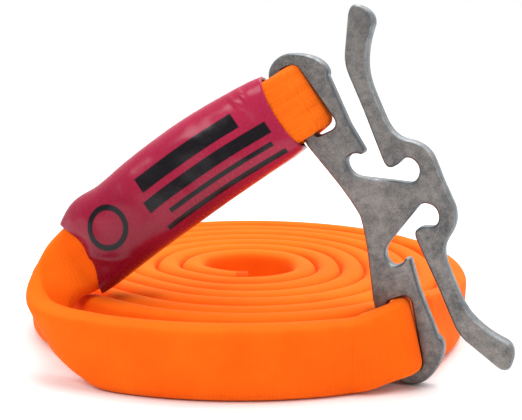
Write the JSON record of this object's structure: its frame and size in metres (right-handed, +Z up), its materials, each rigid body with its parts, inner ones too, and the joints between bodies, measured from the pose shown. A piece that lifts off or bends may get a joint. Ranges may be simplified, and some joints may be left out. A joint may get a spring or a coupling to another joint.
{
  "type": "tourniquet",
  "caption": "Coiled flat elastic strap on its edge, sewn round one slot of a notched metal cleat under a shrunk label sleeve and threaded through the cleat's other slot.",
  "frame": {"origin": "on the resting plane, under the middle of the whole object's box", "axes": "+Z up from the coil's resting edge, -Y towards the side with the label sleeve and the cleat's front face, +X towards the cleat"},
  "size_m": [0.0892, 0.098, 0.0638],
  "materials": {
    "strap_sheath": "matte knitted nylon",
    "strap_core": "matte",
    "thread": "sewn thread",
    "sleeve_vinyl": "glossy shrunk film",
    "cleat_metal": "tumbled, dull"
  },
  "bodies": {
    "root": {"sheath_fold": "strap_sheath", "strap_loop": "strap_sheath", "sheath_front": "strap_sheath", "sheath_slot_lead": "strap_sheath", "sheath_slot_exit": "strap_sheath", "sheath_outer_turn": "strap_sheath", "strap_coil": "strap_sheath", "core_fold": "strap_core", "core_front": "strap_core", "core_slot_lead": "strap_core", "core_slot_exit": "strap_core", "core_outer_turn": "strap_core", "tack_front_1": "thread", "tack_front_2": "thread", "tack_front_3": "thread", "tack_back_1": "thread", "tack_back_2": "thread", "tack_back_3": "thread", "free_end_seal": "thread", "label_sleeve": "sleeve_vinyl"},
    "cleat": {"cleat": "cleat_metal", "strap_slot_pass": "strap_sheath"}
  },
  "joints": [
    {"name": "cleat_swing", "type": "hinge", "parent": "root", "child": "cleat", "pos_m": [0.00817, -0.03163, 0.04673], "axis": [-0.5104, 0.1858, 0.8396], "range_deg": [-15, 45], "deforming": ["sheath_slot_lead", "core_slot_lead", "sheath_slot_exit", "core_slot_exit"]}
  ]
}
